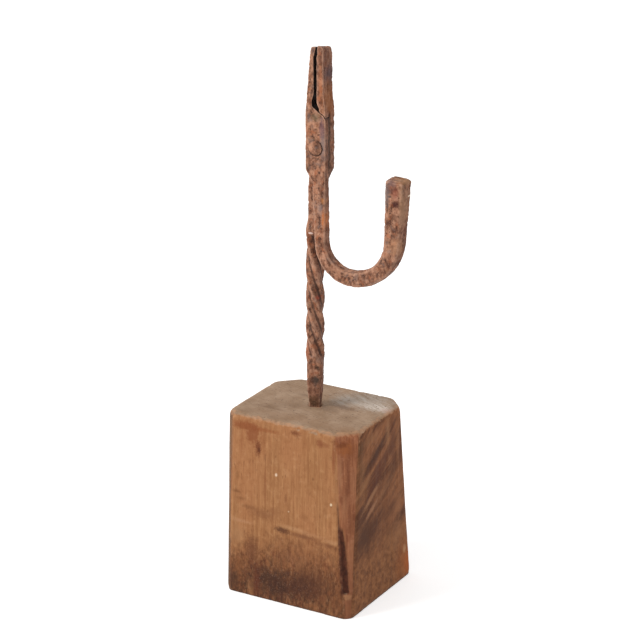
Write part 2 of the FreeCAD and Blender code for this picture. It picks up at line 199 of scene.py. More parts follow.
white = (1, 1, 1, 1)


def aimed(thing, place, target):
    thing.location = place
    thing.rotation_euler = (Vector(target) - Vector(place)).to_track_quat("-Z", "Y").to_euler()
    scene.collection.objects.link(thing)
    return thing


def makeCamera():
    turn, rise = math.radians(view["azimuth"]), math.radians(view["elevation"])
    back = Vector((math.sin(turn) * math.cos(rise), -math.cos(turn) * math.cos(rise), math.sin(rise)))
    lens = bpy.data.cameras.new("photoCamera")
    lens.lens = view["lens"]
    lens.sensor_width = view["sensor"]
    aim = Vector(view["aim"])
    scene.camera = aimed(bpy.data.objects.new("photoCamera", lens), aim + back * view["distance"], aim)


def softLamp(name, kind):
    lamp = bpy.data.lights.new(name, "AREA")
    lamp.shape = "DISK"
    lamp.size = studio[kind + "Size"]
    lamp.energy = studio[kind + "Power"]
    lamp.color = studio[kind + "Colour"]
    aimed(bpy.data.objects.new(name, lamp), studio[kind + "Place"], studio["lampAim"])


def seenBy(tree, first, *others):       # 1 for rays of one of these kinds
    rays = addNode(tree, "ShaderNodeLightPath").outputs
    seen = rays[first]
    for kind in others:
        seen = calc(tree, "MAXIMUM", seen, rays[kind])
    return seen


def makeStudio():
    world = bpy.data.worlds.new("studioSky")
    scene.world = world
    world.use_nodes = True
    tree = world.node_tree
    tree.nodes.clear()
    seen = seenBy(tree, "Is Camera Ray", "Is Glossy Ray", "Is Transmission Ray")
    soft = addNode(tree, "ShaderNodeBackground", {"Color": white, "Strength": studio["skyStrength"]})
    plain = addNode(tree, "ShaderNodeBackground", {"Color": white, "Strength": 1.0})
    both = addNode(tree, "ShaderNodeMixShader", {0: seen, 1: soft.outputs[0], 2: plain.outputs[0]})
    addNode(tree, "ShaderNodeOutputWorld", {"Surface": both.outputs[0]})

    bm = bmesh.new()
    bmesh.ops.create_grid(bm, x_segments=1, y_segments=1, size=studio["floorSize"] / 2)
    bmesh.ops.translate(bm, verts=bm.verts, vec=(0, 0, -studio["floorDrop"]))
    mesh = bpy.data.meshes.new("studioFloor")
    bm.to_mesh(mesh)
    bm.free()
    floor = bpy.data.objects.new("studioFloor", mesh)
    scene.collection.objects.link(floor)
    paper, tree = newMaterial("whitePaper")
    tree.nodes.clear()
    seen = seenBy(tree, "Is Camera Ray", "Is Glossy Ray")
    matt = addNode(tree, "ShaderNodeBsdfDiffuse", {"Color": studio["floorColour"]})
    lift = product(tree, seen, studio["floorLift"])
    glow = addNode(tree, "ShaderNodeEmission", {"Color": white, "Strength": lift})
    both = addNode(tree, "ShaderNodeAddShader", {0: matt.outputs[0], 1: glow.outputs[0]})
    addNode(tree, "ShaderNodeOutputMaterial", {"Surface": both.outputs[0]})
    mesh.materials.append(paper)

    softLamp("windowLamp", "key")
    softLamp("rimLamp", "rim")
    print("studio ready")


# Effects that more than one material uses

def makePatch():                        # a ragged blot at a place on the piece, millimetres
    tree, given, result = newGroup(
        "ragPatch",
        [("Centre", "Vector", (0, 0, 0)), ("Size", "Vector", (1, 1, 1)), ("Soft", "Float", 0.3),
         ("Ragged", "Float", 1.0), ("Grain", "Float", 0.5), ("Turn", "Vector", (0, 0, 0))],
        [("Mask", "Float")])
    here = placeOf(tree)
    away = vectorCalc(tree, "SUBTRACT", here, given["Centre"])
    away = addNode(tree, "ShaderNodeVectorRotate", {"Vector": away, "Rotation": given["Turn"]},
                   rotation_type="EULER_XYZ").outputs[0]
    away = vectorCalc(tree, "DIVIDE", away, given["Size"])
    jag = calc(tree, "SUBTRACT", cloud(tree, here, given["Grain"], 4.0, 0.6), 0.5)
    reach = calc(tree, "ADD", lengthOf(tree, away), product(tree, jag, given["Ragged"]))
    low = calc(tree, "SUBTRACT", 1.0, given["Soft"])
    high = calc(tree, "ADD", 1.0, given["Soft"])
    tree.links.new(ramped(tree, reach, low, high, 1.0, 0.0), result["Mask"])
    return tree


def makeSpeckle():                      # scattered spots of one size
    tree, given, result = newGroup(
        "speckle",
        [("Scale", "Float", 1.0), ("Amount", "Float", 0.3), ("Soft", "Float", 0.05),
         ("Stretch", "Vector", (1, 1, 1))],
        [("Mask", "Float")])
    here = vectorCalc(tree, "MULTIPLY", placeOf(tree), given["Stretch"])
    dots = cloud(tree, here, given["Scale"], 2.0, 0.5)
    edge = calc(tree, "SUBTRACT", 0.72, product(tree, given["Amount"], 0.5))    # more spots as it falls
    tree.links.new(ramped(tree, dots, edge, calc(tree, "ADD", edge, given["Soft"])), result["Mask"])
    return tree


def makeEdgeAndHollow():                         # where the mesh code marked an outer edge or a hollow
    tree, given, result = newGroup(
        "edgeAndHollowMarks",
        [("Ragged", "Float", 0.5), ("Scale", "Float", 0.5), ("Level", "Float", 0.5), ("Soft", "Float", 0.2)],
        [("Edge", "Float"), ("Hollow", "Float")])
    mark = addNode(tree, "ShaderNodeAttribute", attribute_name="edgeMark").outputs["Fac"]
    jag = calc(tree, "SUBTRACT", cloud(tree, placeOf(tree), given["Scale"]), 0.5)
    level = calc(tree, "ADD", mark, product(tree, jag, given["Ragged"]))
    top = calc(tree, "ADD", given["Level"], given["Soft"])
    tree.links.new(ramped(tree, level, given["Level"], top), result["Edge"])
    low = calc(tree, "SUBTRACT", 0.0, given["Level"])
    tree.links.new(ramped(tree, level, low, calc(tree, "SUBTRACT", low, given["Soft"])), result["Hollow"])
    return tree


effects = {"patch": makePatch(), "speckle": makeSpeckle(), "wear": makeEdgeAndHollow()}


def blot(tree, centre, size, soft=0.3, ragged=1.0, grain=0.5, turn=(0, 0, 0)):
    return useGroup(tree, effects["patch"], {
        "Centre": centre, "Size": size, "Soft": soft, "Ragged": ragged, "Grain": grain,
        "Turn": [math.radians(part) for part in turn]})["Mask"]


def speckle(tree, scale, amount, soft=0.05, stretch=(1, 1, 1)):
    return useGroup(tree, effects["speckle"], {"Scale": scale, "Amount": amount, "Soft": soft,
                                               "Stretch": stretch})["Mask"]


def paintBlots(tree, under, blots, turn=(0, 0, 0), thin=1.0):
    for centre, size, soft, ragged, strength, shade in blots:
        grain = min(max(2.4 / min(size), 0.3), 1.3)             # small blots have the finer outline
        mask = product(tree, blot(tree, centre, size, soft, ragged, grain, turn), strength, thin)
        under = paint(tree, mask, under, colour(*shade))
    return under


# Shapes: an even skin over each solid, which is then worn in code

def evenSkin(nodeName, pieceName, voxel):
    bm = bmesh.new()
    bm.from_mesh(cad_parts[nodeName].data)
    bmesh.ops.remove_doubles(bm, verts=bm.verts, dist=0.002 * mm)
    mesh = bpy.data.meshes.new(pieceName)
    bm.to_mesh(mesh)
    bm.free()
    piece = bpy.data.objects.new(pieceName, mesh)
    scene.collection.objects.link(piece)
    remesh = piece.modifiers.new("evenSkin", "REMESH")
    remesh.mode = "VOXEL"
    remesh.voxel_size = voxel
    remesh.use_smooth_shade = True
    bpy.context.view_layer.update()
    ready = piece.evaluated_get(bpy.context.evaluated_depsgraph_get())
    skin = bpy.data.meshes.new_from_object(ready)
    piece.modifiers.clear()
    piece.data = skin
    bpy.data.meshes.remove(mesh)
    skin.name = pieceName
    print(pieceName, "skin of", len(skin.vertices), "points")
    return piece


def readSkin(mesh):
    count = len(mesh.vertices)
    places, normals = np.empty(count * 3), np.empty(count * 3)
    mesh.vertices.foreach_get("co", places)
    mesh.vertices.foreach_get("normal", normals)
    ends = np.empty(len(mesh.edges) * 2, dtype=np.int64)
    mesh.edges.foreach_get("vertices", ends)
    return places.reshape(-1, 3), normals.reshape(-1, 3), ends.reshape(-1, 2)


def averaged(values, ends, rounds):     # each point takes the mean of its neighbours
    count = len(values)
    start, end = np.concatenate([ends[:, 0], ends[:, 1]]), np.concatenate([ends[:, 1], ends[:, 0]])
    share = np.bincount(start, minlength=count)
    values = values.reshape(count, -1)
    for _ in range(rounds):
        sums = [np.bincount(start, weights=part[end], minlength=count) for part in values.T]
        values = np.stack([part / share for part in sums], 1)
    return values


def edgeMarks(places, normals, ends, rounds, full):     # 1 on an outer edge, -1 in a hollow
    drift = ((averaged(places, ends, rounds) - places) * normals).sum(1)
    return np.clip(-drift / full, -1, 1)


def fractal(point, size, octaves, stretch=(1, 1, 1)):
    spot = Vector((point[0] / stretch[0], point[1] / stretch[1], point[2] / stretch[2])) / (size * mm)
    return noise.fractal(spot, 0.9, 2.1, octaves, noise_basis="PERLIN_ORIGINAL")


def keepSkin(piece, places, marks, material, body, nodeName):
    mesh = piece.data
    mesh.vertices.foreach_set("co", places.ravel())
    mesh.update()
    layer = mesh.attributes.new("edgeMark", "FLOAT", "POINT")
    layer.data.foreach_set("value", marks.astype(np.float32))
    mesh.materials.clear()
    mesh.materials.append(material)
    for face in mesh.polygons:
        face.use_smooth = True
    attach(piece, body)
    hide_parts(nodeName)
    print(piece.name, "done")


# Wood

block = {
    "voxel": 0.56 * mm,
    "marks": (10, 0.22 * mm),           # rounds, and the drift that makes a full mark
    "roundPasses": 14,
    "topRound": 2.6,                    # how much of the smoothing each kind of edge takes
    "edgeRound": 1.5,
    "topBand": 4 * mm,                  # this far down an edge counts as the upper one
    "footBand": 0.4 * mm,
    "undulation": (0.30 * mm, 20, 2, (1, 1, 2.2)),      # depth, size in mm, octaves, stretch
    "grain": (0.08 * mm, 1.3, 3, (1, 1, 30)),
    "chip": (0.55 * mm, 4.0, 3, (1, 1, 1.5)),
    "chipLevel": 0.25,                  # the noise that leaves the edge whole
    "chipMark": 0.3,
    "uprightChip": 0.25,                # share of the depth on the upright edges
    "cleft": (58 * mm, 49 * mm),        # lies below this height, and beyond this much of x - y
    "cleftWear": 0.25,                  # little, so that the cleft's lips stay sharp
    "stem": (-1.2, -1.3),               # where the stem goes in, mm
    "holeSharp": 6.0,                   # nothing is rounded this near to it, mm
    "holeWhole": 3.6,                   # nothing is worn this near to it, mm
    "holeFade": (4.0, 4.0),             # from where the wear begins, and over what length, mm
    "holeDepth": 3 * mm,
    "holeDraw": 0.10,                   # how far the hole's mouth closes on the tang
}

rings = {                               # year rings round an upright pith behind the block, mm
    "pith": (-45, 25, 0),
    "width": 1.45,
    "sway": (0.06, 0.06, 0.012),
    "swayReach": (6, 6, 0),
    "early": (0.45, 0.9),
    "late": (1.0, 0.93),
    "shown": (0.40, 0.55, 0.30, 0.04),  # more where the broad noise is low
}

dirt = {                                # rose from the foot, up to a line rubbed round the block, mm
    "ragged": 22,
    "leftLift": (-4, -14, 0, 9),
    "line": (38, 25),
    "deepRagged": 60,
    "deepLine": (26, 10),
    "cover": (0.3, 0.5, 0.45, 0.9),
    "bloom": ((-3, -29, 9), (15, 6, 7), 0.6, 1.4),
}

cleftShade = {                          # painted shade in the cleft; planes: mm at the foot, and what they lose by height
    "corner": (59.57, 0.1166),
    "front": (29.7, 0.0337),
    "right": (32.7, 0.0151),
    "sunk": (0.3, 0.65),
    "inside": (0.2, 0.4),
    "left": (23, 25),
    "back": (-23, -25),
    "low": (11.0, 12.2),
    "high": (56, 50),
    "strength": 0.95,
}

sawTurn = (-30, 0, 0)                   # degrees
endTurn = (0, 0, 25)

faces = {                               # from, to, of the normal's x, y or z, and of heights in mm
    "right": (0.75, 0.92),
    "behind": (0.3, 0.7),
    "leftCutX": (-0.3, -0.5),
    "leftCutY": (-0.1, -0.3),
    "cornerX": (0.35, 0.55),
    "cornerY": (-0.35, -0.55),
    "cornerEnd": (0.93, 0.85),
    "cornerStrength": 0.9,
    "top": (0.45, 0.85),
    "sawnFoot": (18, 34),
    "rubbed": (76, 84, 0.15, 0.6),
}

extras = {                              # the rest of the wood's colours, with the painted shade of the left cut face
    "bloom": (150, 124, 108),
    "dots": (112, 70, 44),
    "leftCutShade": (96, 74, 58),
    "endDots": (120, 96, 78),
    "rubbed": (190, 142, 108),
    "hollow": (74, 42, 30),
}

woodWear = {"Level": 0.75, "Soft": 0.5, "Ragged": 2.2, "Scale": 0.5}
woodGloss = (0.2, 0.8, 0.58, 0.78)      # roughness along the fibre noise
woodRelief = {"fibre": 0.5, "fineFibre": 0.3, "mottle": 0.5}

woodClouds = {                          # stretch, scale, detail, roughness, distortion
    "fibre": ((1, 1, 0.02), 0.9, 4.0, 0.62),
    "fineFibre": ((1, 1, 0.05), 2.6, 3.0, 0.6),
    "broad": ((1, 1, 0.3), 0.07, 4.0, 0.55),
    "slow": ((1, 1, 0.25), 0.25, 4.0, 0.6, 0.8),
    "mottle": ((1, 1, 1), 0.35, 5.0, 0.65),
    "cloudy": ((1, 1, 0.4), 0.16, 5.0, 0.65),
    "patchy": ((1, 1, 0.6), 0.55, 5.0, 0.7),
    "streaky": ((1, 1, 0.16), 0.7, 4.0, 0.6),
    "fleck": ((1, 1, 0.35), 1.1, 5.0, 0.7),
    "crumbs": ((1, 1, 1), 0.9, 4.0, 0.65),
    "dust": ((1, 1, 1), 1.4, 4.0, 0.7),
    "endTone": ((1, 1, 1), 0.12, 4.0, 0.55),
}

sawClouds = {
    "saw": ((0.02, 0.03, 0.13), 1.0, 5.0, 0.62, 0.5),
    "sawFine": ((0.05, 0.07, 0.6), 1.0, 5.0, 0.65, 0.4),
}

endClouds = {"threads": ((0.12, 0.8, 1), 1.0, 5.0, 0.65, 1.2)}

# Each look: what drives the two tones, from, to, the tones; then stains with a strength and a colour
woodLooks = {
    "plain": [
        ("fibre", 0.3, 0.7, (146, 98, 61), (178, 128, 86)),
        ("broad", 0.42, 0.62, 0.6, (166, 112, 74)),
        ("ringShow", 0, 1, 1.0, (130, 80, 46)),
        ("fineFibre", 0.52, 0.75, 0.5, (122, 76, 46)),
        ("mottle", 0.54, 0.70, 0.35, (190, 144, 102)),
        ("mottle", 0.46, 0.34, 0.35, (134, 86, 52)),
        ("slow", 0.54, 0.68, 0.35, (140, 90, 54)),
    ],
    "grime": [
        ("patchy", 0.40, 0.60, (86, 48, 28), (146, 96, 60)),
        ("streaky", 0.5, 0.66, 0.6, (104, 54, 36)),
        ("streaky", 0.46, 0.34, 0.4, (156, 112, 78)),
    ],
    "deepGrime": [
        ("patchy", 0.38, 0.62, (48, 27, 20), (116, 70, 44)),
        ("streaky", 0.5, 0.66, 0.5, (84, 38, 28)),
    ],
    "sawn": [
        ("saw", 0.40, 0.60, (90, 52, 31), (146, 94, 60)),
        ("sawFine", 0.54, 0.70, 0.5, (80, 45, 28)),
        ("sawFine", 0.46, 0.34, 0.4, (158, 108, 72)),
        ("fibre", 0.52, 0.70, 0.5, (104, 58, 36)),
        ("mottle", 0.54, 0.70, 0.4, (150, 102, 68)),
        ("mottle", 0.46, 0.34, 0.4, (78, 44, 28)),
    ],
    "sawnLow": [
        ("mottle", 0.35, 0.65, (104, 63, 38), (148, 98, 62)),
        ("patchy", 0.45, 0.30, 0.7, (84, 48, 30)),
        ("crumbs", 0.56, 0.70, 0.5, (164, 116, 82)),
    ],
    "corner": [
        ("fibre", 0.35, 0.65, (128, 74, 50), (176, 114, 80)),
        ("mottle", 0.5, 0.7, 0.5, (190, 128, 96)),
        ("height", 40, 10, 0.5, (122, 78, 56)),
    ],
    # painted shade in the cleft
    "cleft": [
        ("patchy", 0.4, 0.6, (60, 31, 23), (92, 50, 35)),
    ],
    "end": [
        ("endTone", 0.35, 0.65, (148, 120, 95), (170, 143, 119)),
        ("lateWood", 0, 1, 0.28, (126, 100, 80)),
        ("mottle", 0.55, 0.72, 0.35, (184, 158, 136)),
        ("threads", 0.52, 0.68, 0.4, (124, 99, 80)),
    ],
}

flecks = [
    ("fleck", 0.54, 0.66, 0.5, (170, 124, 92)),
    ("fleck", 0.46, 0.36, 0.5, (58, 30, 22)),
]

frontBlots = [                          # centre, size in mm, softness, raggedness, strength, colour
    ((-21.5, -27, 80.9), (6.5, 9, 2.0), 0.40, 2.2, 0.80, (134, 74, 42)),
    ((-18.2, -27, 77.6), (3.0, 9, 4.0), 0.40, 2.6, 0.70, (130, 72, 42)),
    ((-15.4, -27, 71.6), (1.3, 9, 3.2), 0.40, 2.2, 0.85, (112, 60, 36)),
    ((-14.9, -27, 71.0), (0.6, 9, 1.2), 0.40, 1.6, 0.75, (84, 44, 28)),
    ((-12.8, -27, 76.0), (1.2, 9, 5.5), 0.50, 2.6, 0.45, (138, 84, 50)),
    ((-24.0, -27, 74.0), (1.2, 9, 7.0), 0.60, 2.2, 0.45, (142, 88, 54)),
    ((-11.0, -27, 80.8), (6.0, 9, 0.8), 0.50, 2.4, 0.60, (142, 82, 48)),
    ((3.5, -27, 82.6), (2.4, 9, 1.0), 0.50, 2.2, 0.75, (112, 62, 38)),
    ((15.8, -27, 80.4), (1.4, 9, 1.8), 0.45, 2.2, 0.65, (124, 68, 42)),
    ((18.5, -27, 80.0), (2.2, 9, 0.9), 0.50, 2.2, 0.50, (128, 74, 46)),
    ((27.0, -24, 82.2), (4.4, 9, 1.1), 0.40, 2.2, 0.85, (98, 48, 31)),
    ((22.8, -26, 75.0), (0.7, 9, 7.0), 0.50, 1.8, 0.60, (132, 70, 42)),
    ((-29.6, -28, 56.0), (0.4, 9, 16.0), 0.50, 1.6, 0.50, (142, 80, 50)),
    ((-26.0, -28, 57.0), (0.9, 9, 1.8), 0.45, 2.2, 0.50, (134, 90, 56)),
    ((-26.5, -28, 49.0), (1.8, 9, 0.7), 0.45, 2.4, 0.60, (118, 76, 48)),
    ((-24.0, -28, 46.0), (2.2, 9, 0.7), 0.45, 2.4, 0.55, (122, 80, 50)),
    ((-20.0, -28, 42.6), (3.2, 9, 0.9), 0.50, 2.4, 0.50, (118, 76, 48)),
    ((-12.5, -28, 41.0), (6.0, 9, 2.4), 0.60, 2.4, 0.55, (120, 74, 46)),
    ((-6.0, -28, 44.0), (3.0, 9, 1.6), 0.60, 2.4, 0.40, (126, 80, 50)),
    ((-1.0, -28, 51.0), (0.6, 9, 2.4), 0.40, 1.8, 0.60, (124, 78, 48)),
    ((-11.5, -28, 55.0), (0.8, 9, 6.5), 0.50, 2.0, 0.45, (130, 78, 46)),
    ((9.0, -28, 44.0), (2.0, 9, 1.6), 0.50, 2.2, 0.35, (134, 88, 54)),
    ((2.5, -28, 37.4), (5.5, 9, 0.9), 0.70, 2.0, 0.60, (184, 138, 98)),
    ((13.0, -28, 36.4), (6.0, 9, 0.8), 0.70, 2.2, 0.40, (180, 132, 94)),
    ((23.5, -28, 35.2), (4.0, 9, 0.9), 0.70, 2.2, 0.50, (182, 136, 98)),
    ((-24.5, -28, 35.2), (4.5, 9, 0.8), 0.70, 2.2, 0.55, (180, 134, 98)),
    ((-2.6, -28, 35.4), (3.4, 9, 1.2), 0.50, 2.4, 0.80, (84, 50, 34)),
    ((8.5, -28, 34.8), (6.5, 9, 0.9), 0.60, 2.4, 0.60, (108, 66, 44)),
    ((20.0, -28, 33.2), (6.0, 9, 0.9), 0.60, 2.4, 0.50, (112, 68, 44)),
    ((-26.0, -28, 28.5), (3.4, 9, 4.0), 0.60, 2.6, 0.65, (160, 116, 80)),
    ((-18.0, -28, 22.5), (3.0, 9, 6.0), 0.60, 2.6, 0.65, (92, 50, 33)),
    ((-24.5, -28, 12.0), (2.8, 9, 5.0), 0.60, 2.6, 0.60, (132, 84, 52)),
    ((2.0, -28, 23.5), (6.5, 9, 3.5), 0.70, 2.6, 0.45, (128, 84, 56)),
    ((13.0, -28, 27.0), (9.0, 9, 3.5), 0.70, 2.6, 0.40, (140, 92, 60)),
    ((15.0, -28, 15.0), (8.0, 9, 6.0), 0.70, 2.6, 0.55, (92, 56, 38)),
    ((-6.0, -29, 9.0), (12.0, 9, 6.0), 0.60, 2.4, 0.80, (56, 34, 27)),
    ((-15.6, -29, 7.0), (1.5, 9, 7.5), 0.60, 2.4, 0.45, (104, 52, 34)),
    ((9.0, -29, 11.5), (8.0, 9, 5.0), 0.60, 2.6, 0.70, (72, 42, 31)),
    ((-27.5, -29, 6.0), (2.6, 9, 4.5), 0.60, 2.2, 0.65, (68, 44, 32)),
    ((26.0, -29, 6.0), (3.0, 9, 5.0), 0.60, 2.4, 0.40, (128, 82, 52)),
    ((-6.0, -27.7, 61.0), (0.5, 3, 0.7), 0.5, 0.4, 0.85, (232, 206, 180)),
    ((22.1, -27.9, 53.0), (0.5, 3, 0.6), 0.5, 0.4, 0.85, (230, 208, 174)),
    ((0.6, -28.2, 45.0), (0.35, 3, 0.35), 0.5, 0.3, 0.6, (216, 188, 156)),
]

bevelBlots = [
    ((26.5, -23.6, 79.0), (3.0, 4, 3.0), 0.6, 2.4, 0.75, (158, 90, 48)),
    ((25.8, -24.4, 80.6), (1.8, 3, 1.2), 0.5, 2.4, 0.70, (112, 58, 34)),
    ((29.4, -21.6, 76.5), (1.2, 3, 3.6), 0.6, 2.2, 0.55, (122, 68, 42)),
    ((25.2, -26.0, 66.0), (1.0, 2, 8.0), 0.7, 2.2, 0.55, (180, 128, 94)),
    ((28.2, -23.6, 62.0), (1.1, 2, 9.0), 0.6, 2.4, 0.60, (112, 62, 42)),
    ((30.2, -22.4, 64.0), (0.9, 2, 8.0), 0.7, 2.2, 0.50, (172, 118, 86)),
    ((27.6, -25.6, 52.0), (1.0, 2, 5.0), 0.6, 2.4, 0.50, (176, 122, 88)),
    ((30.0, -24.0, 45.0), (1.2, 2, 6.0), 0.6, 2.4, 0.55, (116, 66, 44)),
    ((30.8, -25.0, 30.0), (1.0, 2, 7.0), 0.6, 2.4, 0.50, (164, 110, 78)),
    ((30.2, -27.8, 10.3), (2.2, 3, 1.3), 0.4, 2.0, 0.75, (178, 128, 90)),
    ((31.0, -28.0, 5.0), (2.4, 3, 3.0), 0.6, 2.4, 0.45, (146, 94, 60)),
]

rightBlots = [
    ((32, 20.5, 9.0), (4, 5.5, 9.0), 0.8, 2.2, 0.55, (164, 96, 52)),
    ((32, 24.5, 6.5), (4, 2.6, 5.5), 0.7, 2.0, 0.55, (186, 96, 44)),
    ((32, 21.5, 14.5), (4, 1.2, 1.6), 0.6, 2.2, 0.60, (196, 150, 110)),
    ((32, -14.0, 36.0), (4, 8.0, 8.5), 0.7, 2.0, 0.75, (76, 46, 30)),
    ((32, 2.0, 38.0), (4, 10.0, 8.0), 0.8, 2.2, 0.50, (84, 50, 33)),
    ((32, -19.0, 77.0), (4, 2.6, 3.0), 0.6, 2.2, 0.60, (82, 56, 34)),
    ((32, -18.0, 70.0), (4, 1.6, 5.0), 0.6, 2.2, 0.50, (96, 62, 40)),
    ((32, -16.5, 62.0), (4, 3.0, 8.0), 0.8, 2.2, 0.45, (136, 94, 60)),
    ((32, -10.0, 79.0), (4, 6.0, 2.0), 0.7, 2.2, 0.50, (142, 98, 66)),
    ((32, 14.0, 24.0), (4, 8.0, 5.0), 0.7, 2.4, 0.45, (152, 104, 68)),
    ((32, 16.0, 40.0), (4, 2.5, 5.0), 0.7, 2.4, 0.45, (150, 100, 66)),
    ((32, 11.0, 71.0), (4, 1.8, 9.0), 0.6, 2.2, 0.60, (96, 56, 38)),
    ((32, 6.5, 77.0), (4, 1.5, 7.0), 0.6, 2.2, 0.60, (156, 110, 76)),
    ((32, 15.5, 68.0), (4, 1.3, 9.0), 0.6, 2.2, 0.55, (152, 104, 72)),
    ((32, 19.0, 62.0), (4, 1.6, 10.0), 0.6, 2.2, 0.45, (92, 54, 38)),
]

sawBlots = [                            # turned to the slant of the saw marks
    ((32, -4.5, 70.5), (4, 10.0, 1.8), 0.5, 1.8, 0.85, (70, 40, 25)),
    ((32, -8.0, 66.0), (4, 7.0, 1.4), 0.5, 2.0, 0.70, (84, 46, 29)),
    ((32, -1.0, 64.0), (4, 9.0, 2.2), 0.6, 2.0, 0.60, (90, 50, 36)),
    ((32, -5.0, 57.5), (4, 9.0, 2.0), 0.5, 2.0, 0.65, (84, 44, 29)),
    ((32, -9.0, 51.5), (4, 7.5, 1.2), 0.5, 1.6, 0.75, (158, 112, 80)),
    ((32, -14.0, 60.0), (4, 6.0, 1.4), 0.5, 1.8, 0.60, (150, 104, 70)),
    ((32, -8.5, 45.6), (4, 6.0, 1.1), 0.5, 1.6, 0.75, (158, 112, 82)),
    ((32, -13.0, 64.5), (4, 6.0, 1.1), 0.5, 2.0, 0.60, (82, 48, 30)),
    ((32, 8.0, 55.0), (4, 9.0, 2.6), 0.7, 2.2, 0.50, (84, 52, 34)),
    ((32, 2.0, 50.0), (4, 8.0, 1.2), 0.6, 2.0, 0.50, (144, 98, 66)),
]

paleBlots = [
    ((17, 14, 86), (11.0, 7.5, 6), 0.7, 1.8, 0.90, (196, 184, 172)),
    ((24, 10, 86), (8.0, 3.0, 6), 0.7, 1.6, 0.95, (212, 200, 188)),
    ((7.5, 10, 86), (4.5, 5.0, 6), 0.7, 1.6, 0.80, (176, 166, 156)),
    ((30, 9, 86), (3.0, 2.2, 6), 0.7, 1.4, 0.60, (192, 152, 140)),
]

topBlots = [
    ((10.5, 2.5, 86), (5.0, 2.0, 6), 0.6, 2.0, 0.60, (100, 78, 64)),
    ((4.0, -2.5, 86), (5.0, 2.2, 6), 0.6, 1.8, 0.50, (114, 92, 76)),
    ((-9.0, 6.5, 86), (5.5, 1.3, 6), 0.6, 2.0, 0.45, (118, 96, 78)),
    ((-16.0, -14.0, 86), (7.0, 1.0, 6), 0.6, 1.6, 0.45, (122, 96, 74)),
    ((0.0, -19.0, 86), (18.0, 3.0, 6), 0.8, 2.0, 0.35, (150, 116, 88)),
    ((27.0, -20.0, 85), (6.0, 4.0, 6), 0.6, 1.6, 0.45, (150, 116, 88)),
]


def makeBlock():
    piece = evenSkin("base_block", "worn_block", block["voxel"])
    places, normals, ends = readSkin(piece.data)
    marks = edgeMarks(places, normals, ends, *block["marks"])
    softer = averaged(places, ends, block["roundPasses"])
    top, foot = places[:, 2].max(), places[:, 2].min()
    upperEdge = top - block["topBand"]
    outer = np.clip(marks, 0, 1)
    share = np.where(places[:, 2] > upperEdge, block["topRound"], block["edgeRound"])
    share = np.clip(outer * share, 0, 1)
    stemX, stemY = block["stem"]
    reach = np.hypot(places[:, 0] / mm - stemX, places[:, 1] / mm - stemY)
    share[reach < block["holeSharp"]] = 0
    rounded = places + (softer - places) * share[:, None]
    fadeStart, fadeLength = block["holeFade"]
    for index in range(len(places)):
        point, normal = rounded[index], normals[index]
        if reach[index] < block["holeWhole"]:
            if point[2] > top - block["holeDepth"]:
                point[0] += (stemX * mm - point[0]) * block["holeDraw"]
                point[1] += (stemY * mm - point[1]) * block["holeDraw"]
            continue
        low = places[index][2] < foot + block["footBand"]
        if low:                         # the foot stays flat
            point[2] = foot
            if abs(normal[2]) > 0.95:
                continue
            normal = normal * (1, 1, 0)
        depth, *kind = block["undulation"]
        push = depth * (0.5 + 0.5 * fractal(point, *kind))
        depth, *kind = block["grain"]
        push += depth * (0.5 + fractal(point, *kind)) * (1 - abs(normal[2]))
        if outer[index] > block["chipMark"] and not low:
            depth, *kind = block["chip"]
            chip = fractal(point, *kind) - block["chipLevel"]
            chip = min(max(chip, 0) * 2.0, 1) * min((outer[index] - block["chipMark"]) * 2, 1)
            push += depth * chip * (1 if point[2] > upperEdge else block["uprightChip"])
        push *= min(max(reach[index] - fadeStart, 0) / fadeLength, 1)
        if point[2] < block["cleft"][0] and point[0] - point[1] > block["cleft"][1]:
            push *= block["cleftWear"]
        rounded[index] = point - normal * max(push, 0)
    rounded[:, 2] = np.clip(rounded[:, 2], foot, top)
    keepSkin(piece, rounded, marks, makeWood(), "holder", "base_block")


def yearRings(tree, here):              # 0 to 1 through each ring's late wood
    sway = cloud(tree, vectorCalc(tree, "MULTIPLY", here, rings["sway"]), 1.0, 2.0, 0.5, 0.0, 1)
    bent = vectorCalc(tree, "ADD", here, vectorCalc(tree, "MULTIPLY", sway, rings["swayReach"]))
    flat = vectorCalc(tree, "MULTIPLY", vectorCalc(tree, "SUBTRACT", bent, rings["pith"]), (1, 1, 0))
    ring = calc(tree, "FRACT", calc(tree, "DIVIDE", lengthOf(tree, flat), rings["width"]))
    return product(tree, ramped(tree, ring, *rings["early"]), ramped(tree, ring, *rings["late"]))


def cleftShadeMask(tree, spot):              # where the surface lies deeper than the cut corner
    corner, front, right = [calc(tree, "SUBTRACT", foot, product(tree, spot[2], loss))
                            for foot, loss in map(cleftShade.get, ("corner", "front", "right"))]
    sunk = calc(tree, "ADD", calc(tree, "SUBTRACT", corner, spot[0]), spot[1])
    inside = calc(tree, "MINIMUM", calc(tree, "ADD", front, spot[1]), calc(tree, "SUBTRACT", right, spot[0]))
    return product(tree, ramped(tree, sunk, *cleftShade["sunk"]),
                   ramped(tree, spot[0], *cleftShade["left"]),
                   ramped(tree, spot[2], *cleftShade["low"]),
                   ramped(tree, spot[1], *cleftShade["back"]),
                   ramped(tree, spot[2], *cleftShade["high"]),
                   ramped(tree, inside, *cleftShade["inside"]), cleftShade["strength"])


